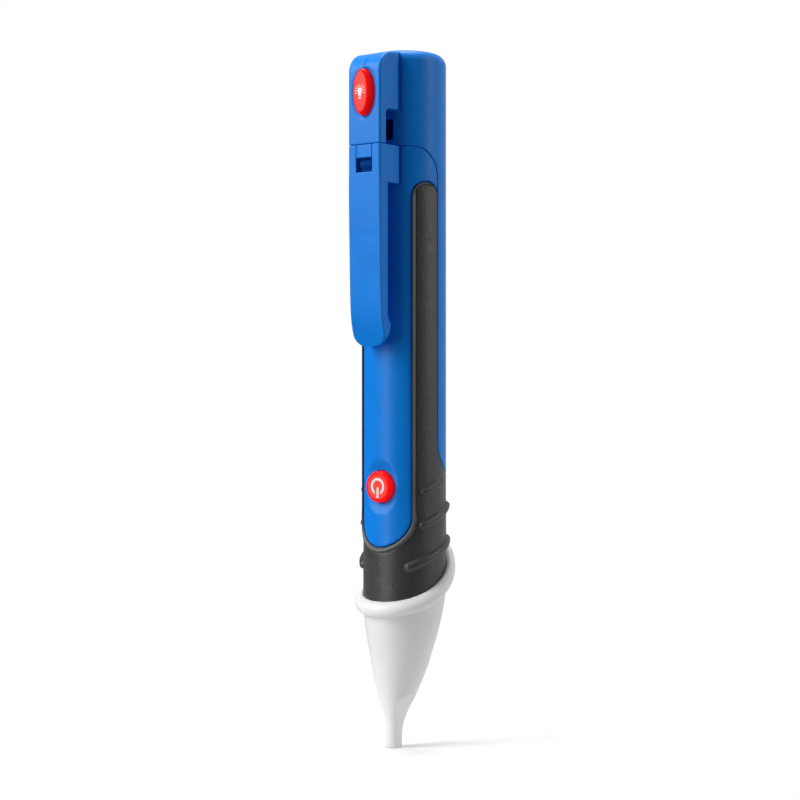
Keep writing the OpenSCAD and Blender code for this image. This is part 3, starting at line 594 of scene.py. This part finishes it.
def front_field(x, y, z):
    """The blue front shell: panel, head of the barrel, button recess, rails and screw posts."""
    rho = np.hypot(x, y)
    core = meet(rho - CORE_R, z - (ARCH_Z + 5))
    face = meet(rho - BARREL_R, np.where(y < 0, panel(x, z), 1.0), 0.22)
    top = meet(rho - BARREL_R, ARCH_Z - z)
    top = cut(top, arch(y, z) - GROOVE_W, 0.22)
    d = np.minimum(core, np.minimum(face, top))
    d = meet(d, front_share(y, z), 0.2)
    d = meet(d, 0.05 - above_collar(y, z))
    d = cut(d, np.maximum(crease(x, y), CLIP_BASE_Z - z), 0.05)
    scoop = y + BARREL_R - RECESS_DEPTH * (1 - np.abs(2 * (z - POWER_Z) / RECESS_H) ** RECESS_POWER)
    d = cut(d, np.where((y < 0) & (np.abs(z - POWER_Z) < RECESS_H), scoop, 9.0), 0.12)
    d = cut(d, np.where(z < NECK_BORE_Z, rho - NECK_BORE_R, rho - BORE_R))
    for side in (-1, 1):
        rail = brick(side * x, y, z, (7.2, -2.2, 80), (8.62, 1.0, 141), 0.15)
        d = np.minimum(d, cut(rail, brick(side * x, y, z, (6, -0.85, 70), (8.2, 0.05, 150))))
    for boss_z in BOSS_Z:
        from_axis = np.hypot(x, z - boss_z)
        post = meet(from_axis - BOSS_R, between(y, -BORE_R - 0.3, -5.0), 0.1)
        d = cut(join(d, post, 0.3), meet(from_axis - PILOT_R, -7.8 - y))
    button = np.hypot(x, z - POWER_Z)
    d = cut(d, np.where(y < 0, button - POWER_WELL_R, 9.0), 0.1)
    return cut(d, meet(button - POWER_FLANGE_ROOM_R, between(y, -8.45, 0)))


BLOCK_TOP_R = 4.6
BLOCK_BEND_Z = 174.9
BLOCK_TOP_SLOPE = 0.1
LIGHT_WELL = 0.12
DISH_W = 3.95
DISH_H = 13.6
DISH_DEPTH = 1.45
POST_R = 1.7
LENS_SEAT_R, LENS_SEAT_H = 3.06, 1.4
LAMP_HOLE_R = 2.62
PARTING_W = 0.16
PARTING_DEPTH = 0.22


def head_field(x, y, z):
    """The outside of the rear shell's barrel and head, before its openings."""
    rho = np.hypot(x, y)
    centre_z = PEN_H - DOME_R
    dome = np.where(z > SEAM_Z, np.hypot(rho, z - centre_z) - DOME_R, -9.0)
    barrel = meet(rho - BARREL_R, dome, HEAD_EDGE_R)
    barrel = cut(barrel, front_share(y, z, 0.1), 0.2)
    front = y + BLOCK_Y
    block = meet(-front, z - BLOCK_BEND_Z - BLOCK_TOP_SLOPE * (front - BLOCK_TOP_R), BLOCK_TOP_R)
    block = meet(block, np.abs(x) - BLOCK_W - BLOCK_DRAFT * front, 0.8)
    block = meet(block, y + 5)
    beside_slot = join(SLOT_END_Z - z, y + SLOT_FRONT_Y, 1.2)
    block = meet(meet(block, beside_slot, 0.15), SEAM_Z + 0.1 - z, 0.15)
    return np.minimum(barrel, block)


def rear_field(x, y, z):
    """The blue rear shell with its openings, posts and lamp hole."""
    rho = np.hypot(x, y)
    outside = head_field(x, y, z)
    d = outside
    d = cut(d, np.maximum(crease(x, y), SLOT_END_Z - z), 0.05)
    up = z - LIGHT_Z
    dish = y + BLOCK_Y - DISH_DEPTH * (1 - (x / DISH_W) ** 2 - (2 * up / DISH_H) ** 2)
    d = cut(d, np.where((y < -13) & (z > SLOT_END_Z - 5), dish, 9.0), 0.1)
    d = cut(d, meet(rho - REAR_BORE_R, z - (PEN_H - 2.4)))
    for side in (-1, 1):
        post = np.hypot(side * x - POST_X, y - POST_Y)
        d = join(d, meet(post - POST_R, between(z, 154.9, 175)), 0.3)
        d = cut(d, np.maximum(post - PILOT_R, z - 166))
    d = cut(d, brick(x, y, z, (-3.7, -15, SLOT_END_Z + 0.9), (3.7, -6, 173)))
    well = ellipse(x, up, LIGHT_W + LIGHT_WELL, LIGHT_H / 2 + LIGHT_WELL)
    d = cut(d, np.where(y < -13.95, well, 9.0))
    d = cut(d, brick(x, y, z, (-2.35, CATCH_Y - 0.1, 140), (2.35, -13, CATCH_TOP_Z + 0.1)))
    d = cut(d, brick(x, y, z, (-3.8, -12, SEAM_Z + 1.6), (3.8, -6, SEAM_Z + 6.8), 0.3), 0.1)
    lamp = np.hypot(x, y - LED_Y)
    d = cut(d, np.maximum(lamp - LAMP_HOLE_R, 170 - z))
    d = cut(d, np.maximum(lamp - LENS_SEAT_R, PEN_H - LENS_SEAT_H - z), 0.1)
    parting = np.maximum(np.abs(x) - PARTING_W / 2, -PARTING_DEPTH - outside)
    parting = np.maximum(parting, np.maximum(LIGHT_Z + DISH_H / 2 - 0.2 - z, y - LED_Y + 3.4))
    return cut(d, parting)


CLIP_BEND_Z = 108.0
CLIP_BEND_SLOPE = 0.3
CLIP_LEAN, CLIP_LEAN_H = 0.5, 32.0
WINDOW_W, WINDOW_LOW_Z, WINDOW_TOP_Z = 5.1, 144.7, 148.3


def clip_front(z):
    """The clip's front face leans in a little, and bends back at its end."""
    lean = CLIP_LEAN * np.clip((CLIP_BASE_Z - z) / CLIP_LEAN_H, 0, 1) ** 1.3
    below = CLIP_BEND_Z - z
    bend = 0.5 * CLIP_BEND_SLOPE * (below + np.sqrt(below ** 2 + 9))
    return -BLOCK_Y + lean + np.where(z < 130, bend, 0)


def clip_back(z):
    """The clip's inner face with its pointed tooth."""
    heights = np.array([CLIP_END_Z, 102.0, 106.1, 106.4, 106.7, 107.1, 108.6, 109.4, 111])
    depths = np.array([-14.1, -13.7, -12.2, -12.1, -12.1, -12.3, -13.2, -13.35, -13.35])
    return np.interp(z, heights, depths)


def clip_field(x, y, z):
    """The pocket clip and the block that carries it, with the latch window."""
    rho = np.hypot(x, y)
    arm = meet(clip_front(z) - y, np.abs(x) - BLOCK_W, 0.6)
    ends = meet(np.abs(x) - BLOCK_W, CLIP_END_Z - z, 4.0)
    arm = meet(arm, ends, 0.3)
    arm = meet(arm, y - clip_back(z), 0.12)
    arm = meet(arm, z - (CLIP_BASE_Z + 1.5))
    block = meet(-(y + BLOCK_Y), np.abs(x) - BLOCK_W - BLOCK_DRAFT * (y + BLOCK_Y), 0.8)
    block = meet(block, between(z, CLIP_BASE_Z, SEAM_Z - 0.05), 0.12)
    block = cut(block, np.where(y < 0, rho - BARREL_R - 0.03, -9.0))
    d = np.minimum(arm, block)
    d = cut(d, brick(x, y, z, (-WINDOW_W / 2, -15.4, 143.6), (WINDOW_W / 2, -12.6, 160)))
    window = brick(x, y, z, (-WINDOW_W / 2, -20, WINDOW_LOW_Z), (WINDOW_W / 2, -15, WINDOW_TOP_Z), 0.1)
    d = cut(d, window, 0.1)
    for side in (-1, 1):
        d = cut(d, brick(side * x, y, z, (2.43, -20, 148.2), (2.57, -BLOCK_Y + 0.3, 160)))
    return d


# Probe outline: height, offset of the centre to the clip side, radius.
PROBE = np.array([
    (0, 4.7, 2.15), (2, 4.6, 2.18), (4.2, 4.5, 2.22), (5.4, 4.4, 2.3), (6.7, 4.25, 2.5),
    (8.6, 3.95, 3.2), (10.8, 3.6, 4.1), (13.8, 3.15, 5.05), (16.9, 2.6, 6.1), (20.4, 2.1, 7.15),
    (24, 1.7, 8.0), (27.6, 1.35, 8.9), (31.2, 1.0, 9.6), (35, 0.5, 10.1), (39, 0.1, 10.45),
    (44, 0.0, 10.55), (50, 0.0, 10.55),
])
BLADE_W = 1.9
SCALLOP_Z = 7.8
SCALLOP_R = 7.2
PROBE_WALL = 1.15
LIP_R = GRIP_R + GRIP_FLARE + 0.06


def smooth_through(z, heights, values):
    """A smooth curve through the stations, by cubic pieces with shared slopes."""
    slopes = np.gradient(values, heights)
    k = np.clip(np.searchsorted(heights, z) - 1, 0, len(heights) - 2)
    h = heights[k + 1] - heights[k]
    t = np.clip((z - heights[k]) / h, 0, 1)
    a, b = values[k], values[k + 1]
    return ((1 + 2 * t) * (1 - t) ** 2 * a + t * (1 - t) ** 2 * h * slopes[k]
            + t * t * (3 - 2 * t) * b + t * t * (t - 1) * h * slopes[k + 1])


def tip_field(x, y, z):
    """The white probe: cone, scalloped blade, collar ring, and the hollow for the circuit board."""
    rho = np.hypot(x, y)
    centre = smooth_through(z, PROBE[:, 0], -PROBE[:, 1])
    radius = smooth_through(z, PROBE[:, 0], PROBE[:, 2])
    flank = np.hypot(x, y - centre)
    cone = meet(flank - radius, -z, 0.12)
    for side in (-1, 1):
        flat = np.maximum(BLADE_W - side * x, z - SCALLOP_Z)
        scallop = np.hypot(side * x - BLADE_W - SCALLOP_R, z - SCALLOP_Z) - SCALLOP_R
        cone = cut(cone, np.minimum(flat, scallop), 0.12)
    half = COLLAR_BEAD_H / 2
    ring = np.hypot(np.hypot(x, y - 0.15) - (COLLAR_R - half), above_collar(y, z) + COLLAR_SINK) - half
    d = join(meet(cone, above_collar(y, z) + COLLAR_SINK), ring, 0.2)
    d = cut(d, np.maximum(rho - LIP_R, -above_collar(y, z)))
    hollow = np.maximum(flank - radius + PROBE_WALL, 13.8 - z)
    socket = np.maximum(rho - BORE_R, 35.2 - z)
    return cut(d, np.minimum(hollow, socket))


def facing_out(obj):
    """The centres of a piece's faces in mm from the barrel's axis, and which of them face the front."""
    polygons = obj.data.polygons
    centres = np.empty(3 * len(polygons), np.float32)
    normals = np.empty(3 * len(polygons), np.float32)
    polygons.foreach_get("center", centres)
    polygons.foreach_get("normal", normals)
    x, y, z = (centres.reshape(-1, 3) / MM - [0, AXIS_Y, 0]).T
    return x, y, z, normals[1::3] < -0.5


grip = moulded("grip_rubber", grip_field,
               steps((-12, -9.4, 0.2), (-9.4, -7.4, 0.1), (-7.4, 7.4, 0.25), (7.4, 9.4, 0.1), (9.4, 12, 0.2)),
               steps((-11.8, -7.4, 0.2), (-7.4, -4.6, 0.1), (-4.6, 12, 0.2)),
               steps((34, 80, 0.22), (80, 134, 1.0), (134, 143.2, 0.2)), "front_body", rubber,
               ("grip_sleeve",))
# The raised rim's faces get the lighter rubber, a painted highlight line along the panel.
grip.data.materials.append(lip_rubber_painted_highlight)
centre_x, centre_y, centre_z, _ = facing_out(grip)
_, rim, width = lip(centre_x, centre_y, centre_z)
on_lip = (rim < 1.05 * width) & (rim > -0.05) & (centre_y < -ARCH_R)
on_lip &= np.hypot(centre_x, centre_y) > GRIP_R
grip.data.polygons.foreach_set("material_index", on_lip.astype(np.int32))

moulded("front_cover", front_field,
        steps((-11, -6.1, 0.22), (-6.1, -4.9, 0.1), (-4.9, 4.9, 0.22), (4.9, 6.1, 0.1), (6.1, 11, 0.22)),
        steps((-11, -9.6, 0.22), (-9.6, -8.3, 0.1), (-8.3, 10, 0.22)),
        steps((32, 58, 0.3), (58, 76, 0.18), (76, 128, 0.5), (128, 152, 0.25)), "front_body", blue_plastic,
        ("front_shell",))
moulded("head_shell", rear_field, steps((-11, -0.4, 0.18), (-0.4, 0.4, 0.04), (0.4, 11, 0.18)),
        steps((-17.2, -4.4, 0.13), (-4.4, 10.8, 0.22)),
        steps((68.6, 78, 0.2), (78, 142, 1.0), (142, 178, 0.16)), "carrier", blue_plastic,
        ("rear_shell",))
clip = moulded("pocket_clip_bending", clip_field, steps((-5.4, 5.4, 0.12)), steps((-17, -8, 0.12)),
               steps((100.8, 112, 0.14), (112, 140, 0.4), (140, 152, 0.12)), None, blue_plastic,
               ("pocket_clip", "clip_base"))
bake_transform(clip)
moulded("probe_cone", tip_field, steps((-13.2, 13.2, 0.24)), steps((-13.2, 14, 0.24)),
        steps((-0.5, 14, 0.15), (14, 30, 0.3), (30, 53, 0.2)), "front_body", white_plastic,
        ("probe_tip",))

# ---- buttons ---------------------------------------------------------------------------------

POWER_FACE_Y = float(power_low[1])
LIGHT_FACE_Y = float(light_low[1])
KEY_EDGE = 0.9                                # width of the smooth edge around a key's face
PRINT_H = 0.07


def power_face(x, z):
    """The power button's front surface: nearly flat, rising a little to its rim."""
    return POWER_FACE_Y + 0.1 - 0.014 * (x * x + (z - POWER_Z) ** 2)


def power_field(x, y, z):
    """The round power button with its hidden flange."""
    r = np.hypot(x, z - POWER_Z)
    cap = meet(r - POWER_R, power_face(x, z) - y, 0.95)
    cap = meet(cap, y + 8.3)
    flange = meet(r - 4.75, between(y, -8.35, -7.65), 0.1)
    return np.minimum(cap, flange)


def light_face(x, z):
    """The flashlight button's slightly domed front surface."""
    return LIGHT_FACE_Y + 0.02 * x * x + 0.006 * (z - LIGHT_Z) ** 2


def light_field(x, y, z):
    """The oval flashlight button with its hidden flange and post."""
    up = z - LIGHT_Z
    cap = meet(ellipse(x, up, LIGHT_W, LIGHT_H / 2), light_face(x, z) - y, 1.0)
    cap = meet(cap, y + 14.5)
    flange = brick(x, y, z, (-3.4, -14.9, 161.6), (3.4, -14.3, 168.2), 0.1)
    post = meet(np.hypot(x, up) - 1.4, between(y, -14.5, -13.32))
    return np.minimum(np.minimum(cap, flange), post)


def finger_face(key, outline):
    """The part of a key that a finger presses is finely textured and paler pink, the paler colour a painted
    highlight; its rounded edge is smooth.
    """
    key.data.materials.append(red_face_painted_light)
    x, y, z, across = facing_out(key)
    key.data.polygons.foreach_set("material_index", ((outline(x, z) < 0) & across).astype(np.int32))


power_key = moulded("power_key", power_field, steps((-5, 5, 0.1)), steps((POWER_FACE_Y - 0.25, -7.4, 0.08)),
                    steps((POWER_Z - 5, POWER_Z + 5, 0.1)), "power_button", red_plastic_painted_glow,
                    ("power_button",))
light_key = moulded("flashlight_key", light_field, steps((-3.7, 3.7, 0.1)),
                    steps((LIGHT_FACE_Y - 0.25, -13, 0.08)),
                    steps((LIGHT_Z - 6.2, LIGHT_Z + 6.2, 0.1)), "flashlight_button", red_plastic_painted_glow,
                    ("flashlight_button",))
finger_face(power_key, lambda x, z: np.hypot(x, z - POWER_Z) - (POWER_R - KEY_EDGE))
finger_face(light_key, lambda x, z: ellipse(x, z - LIGHT_Z, LIGHT_W, LIGHT_H / 2) + KEY_EDGE)


def power_sign(x, z):
    """A ring open at the bottom, with a short bar down through the gap."""
    up = z - POWER_Z
    gap = np.maximum(np.abs(x) - 0.9, up)
    ring = cut(np.abs(np.hypot(x, up - 0.1) - 1.8) - 0.33, gap, 0.05)
    return np.minimum(ring, bar(x, up, (0, -0.45), (0, -2.5)) - 0.35)


def lamp_sign(x, z):
    """A light bulb with rays around it."""
    up = z - (LIGHT_Z + 0.15)
    bulb = join(np.hypot(x, up) - 0.82, bar(x, up, (0, 0), (0, -1.0)) - 0.5, 0.15)
    d = np.minimum(bulb, brick(x, up, 0 * x, (-0.42, -1.98, -1), (0.42, -1.62, 1), 0.05))
    for k in range(9):
        a = math.radians(-24 + 28.5 * k)
        ray = bar(x, up, (1.24 * math.cos(a), 1.24 * math.sin(a)), (1.5 * math.cos(a), 1.5 * math.sin(a)))
        d = np.minimum(d, ray - 0.14)
    return d


def printed(name, sign, face, half_w, low_z, high_z, front_y, back_y, body):
    """A thin raised print of a sign on a button's face."""
    def field(x, y, z):
        return meet(sign(x, z), np.abs(y - face(x, z)) - PRINT_H / 2)
    moulded(name, field, steps((-half_w, half_w, 0.06)), steps((front_y, back_y, 0.025)),
            steps((low_z, high_z, 0.06)), body, print_white)


printed("power_sign", power_sign, power_face, 2.4, POWER_Z - 3.1, POWER_Z + 2.5,
        POWER_FACE_Y - 0.1, POWER_FACE_Y + 0.2, "power_button")
printed("lamp_sign", lamp_sign, light_face, 1.9, LIGHT_Z - 2.2, LIGHT_Z + 2.1,
        LIGHT_FACE_Y - 0.1, LIGHT_FACE_Y + 0.3, "flashlight_button")

# ---- stage, light and camera -----------------------------------------------------------------

AZIMUTH = math.radians(38)
middle = Vector((0, AXIS_Y * MM, 0.088))
to_camera = Vector((math.sin(AZIMUTH), -math.cos(AZIMUTH), 0))
to_left = Vector((-math.cos(AZIMUTH), -math.sin(AZIMUTH), 0))
UP = Vector((0, 0, 1))


def studio_world():
    """A white backdrop behind the object, and a dimmer room in front of it."""
    world = bpy.data.worlds.new("studio")
    bpy.context.scene.world = world
    world.use_nodes = True
    tree = world.node_tree
    backdrop = tree.nodes["Background"]
    backdrop.inputs["Strength"].default_value = 1.0
    room = tree.nodes.new("ShaderNodeBackground")
    place = tree.nodes.new("ShaderNodeTexCoord")
    facing = tree.nodes.new("ShaderNodeVectorMath")
    facing.operation = "DOT_PRODUCT"
    facing.inputs[1].default_value = (-0.4 * to_camera - 0.75 * to_left + 0.45 * UP).normalized()
    level = tree.nodes.new("ShaderNodeMapRange")
    level.interpolation_type = "SMOOTHSTEP"
    level.inputs["From Min"].default_value = 0.0
    level.inputs["From Max"].default_value = 1.0
    level.inputs["To Min"].default_value = 0.09
    level.inputs["To Max"].default_value = 0.75
    ray = tree.nodes.new("ShaderNodeLightPath")
    mix = tree.nodes.new("ShaderNodeMixShader")
    tree.links.new(place.outputs["Generated"], facing.inputs[0])
    tree.links.new(facing.outputs["Value"], level.inputs["Value"])
    tree.links.new(level.outputs["Result"], room.inputs["Strength"])
    tree.links.new(ray.outputs["Is Camera Ray"], mix.inputs[0])
    tree.links.new(room.outputs[0], mix.inputs[1])
    tree.links.new(backdrop.outputs[0], mix.inputs[2])
    backdrop.inputs["Color"].default_value = (1, 1, 1, 1)
    tree.links.new(mix.outputs[0], tree.nodes["World Output"].inputs[0])


def pale_floor():
    """A round pale floor that fades out with distance, sooner for the camera than for bounced light."""
    mat, shader = new_material("pale_floor", (0.93, 0.93, 0.93), 0.7, Emission_Strength=0.16,
                               Emission_Color=(1, 1, 1, 1))
    tree = mat.node_tree
    place = tree.nodes.new("ShaderNodeTexCoord")
    away = tree.nodes.new("ShaderNodeVectorMath")
    away.operation = "LENGTH"
    fade = tree.nodes.new("ShaderNodeMapRange")
    bounce = tree.nodes.new("ShaderNodeMapRange")
    for node, start, end in ((fade, 0.01, 0.06), (bounce, 0.03, 0.16)):
        node.interpolation_type = "SMOOTHSTEP"
        node.inputs["From Min"].default_value = start
        node.inputs["From Max"].default_value = end
        link(mat, away, "Value", node, "Value")
    bounce.inputs["To Min"].default_value = 0.4
    clear = tree.nodes.new("ShaderNodeBsdfTransparent")
    mix = tree.nodes.new("ShaderNodeMixShader")
    ray = tree.nodes.new("ShaderNodeLightPath")
    clearness = tree.nodes.new("ShaderNodeMix")
    link(mat, bounce, "Result", clearness, "A")
    link(mat, ray, "Is Camera Ray", clearness, "Factor")
    link(mat, place, "Object", away, "Vector")
    link(mat, fade, "Result", clearness, "B")
    link(mat, clearness, "Result", mix, "Fac")
    tree.links.new(shader.outputs[0], mix.inputs[1])
    tree.links.new(clear.outputs[0], mix.inputs[2])
    tree.links.new(mix.outputs[0], tree.nodes["Material Output"].inputs[0])
    bpy.ops.mesh.primitive_circle_add(vertices=128, radius=0.6, fill_type="NGON", location=(0, 0, -0.00005))
    floor = bpy.context.object
    floor.name = "floor"
    floor.data.materials.append(mat)


def area_light(name, away, watts, width, height):
    """A soft box that looks at the object's middle."""
    data = bpy.data.lights.new(name, "AREA")
    data.energy = watts
    data.shape = "RECTANGLE"
    data.size = width
    data.size_y = height
    obj = bpy.data.objects.new(name, data)
    bpy.context.scene.collection.objects.link(obj)
    obj.location = middle + away
    obj.rotation_euler = (-away).to_track_quat("-Z", "Y").to_euler()


studio_world()
pale_floor()
bpy.context.scene.view_settings.view_transform = "Standard"
area_light("key", 0.66 * to_left + 0.20 * to_camera + 0.46 * UP, 5.0, 0.30, 0.6)
area_light("strip", 0.53 * to_left + 0.40 * to_camera + 0.02 * UP, 1.2, 0.22, 0.5)
area_light("side", -0.62 * to_left + 0.16 * to_camera + 0.28 * UP, 1.0, 0.2, 0.6)
area_light("top", 0.05 * to_left - 0.12 * to_camera + 0.6 * UP, 2.4, 0.4, 0.2)

DISTANCE = 0.480
camera_data = bpy.data.cameras.new("camera")
camera_data.sensor_width = 36
camera_data.lens = 84.465
camera_data.shift_x = -0.006125
camera = bpy.data.objects.new("camera", camera_data)
bpy.context.scene.collection.objects.link(camera)
camera.location = middle + to_camera * DISTANCE
camera.rotation_euler = (math.radians(90), 0, AZIMUTH)
bpy.context.scene.camera = camera
